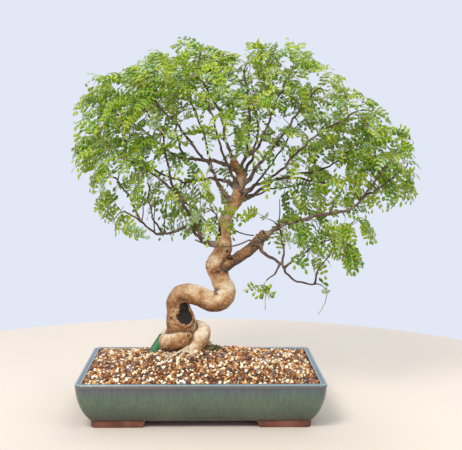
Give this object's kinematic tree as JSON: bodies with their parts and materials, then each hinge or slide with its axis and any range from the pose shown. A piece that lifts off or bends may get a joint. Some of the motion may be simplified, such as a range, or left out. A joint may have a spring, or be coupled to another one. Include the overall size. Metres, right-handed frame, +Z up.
{
  "type": "bonsai tree in a pot",
  "caption": "Pinnate-leaved bonsai with a coiled trunk and wide open crown, in gritty soil in a shallow glazed rectangular pot on corner feet.",
  "frame": {"origin": "middle of the whole object's bounding box, on the plane that the feet stand on", "axes": "+Z up; +Y away from the front of the pot, the side whose long wall the picture shows; +X along the pot's length towards the side that the crown leans to"},
  "size_m": [0.4618, 0.2482, 0.4701],
  "materials": {
    "pot": "grey-green celadon glaze over stoneware, brownish under the rim, with bare red-brown clay feet",
    "soil": "loose 3 to 5 mm grains of baked clay, pumice and lava",
    "grit": "coarse 6 to 8 mm lava and pumice grit",
    "moss": "dusty olive-brown moss",
    "trunk": "smooth pale tan living bark with fine wrinkles, warts and dark healed scars",
    "limbs": "rough dark brown bark",
    "leaves": "satin yellow-green leaflets, paler beneath",
    "training_wire": "dull brown anodised aluminium, weathered grey",
    "wire": "dull aluminium",
    "screen": "black plastic mesh",
    "stake": "satin green plastic"
  },
  "bodies": {
    "root": {"soil": "soil", "trunk": "trunk", "pot": "pot", "drain_screen_left": "screen", "drain_screen_right": "screen", "foliage_left_back": "leaves", "foliage_right_long_low": "leaves", "limb_right_low": "limbs", "foliage_inner_left": "leaves", "foliage_top_back": "leaves", "foliage_far_tip": "leaves", "foliage_low_outer": "leaves", "foliage_top_front_left": "leaves", "foliage_right_upper": "leaves", "foliage_left_high": "leaves", "foliage_right_back_low": "leaves", "foliage_right_back": "leaves", "limb_left_low": "limbs", "foliage_back_left": "leaves", "foliage_right_long": "leaves", "foliage_low_inner": "leaves", "foliage_back_low": "leaves", "foliage_droop_left": "leaves", "foliage_top_left": "leaves", "foliage_low_mid": "leaves", "foliage_left_mid": "leaves", "drainage_grit": "grit", "foliage_left_tip": "leaves", "foliage_top_right": "leaves", "foliage_left_fork": "leaves", "foliage_top_centre": "leaves", "foliage_right_mid": "leaves", "foliage_far_mid": "leaves", "foliage_left_mid_back": "leaves", "limb_right_far": "limbs", "limb_left_main": "limbs", "foliage_far_low": "leaves", "foliage_droop_right": "leaves", "foliage_left_low": "leaves", "foliage_top_front": "leaves", "training_wire": "training_wire", "limb_right_thick": "limbs", "moss": "moss", "limb_right_long": "limbs", "limb_left_back": "limbs", "limb_left_upper": "limbs", "limb_right_back": "limbs", "anchor_wire": "wire", "limb_left_mid": "limbs", "screen_clip_left": "wire", "screen_clip_right": "wire", "limb_top_left": "limbs", "limb_right_upper": "limbs", "limb_right_mid": "limbs", "limb_top_centre": "limbs", "limb_top_back": "limbs", "limb_top_front": "limbs", "limb_top_right": "limbs", "limb_back_low": "limbs", "green_stake": "stake"}
  },
  "joints": []
}
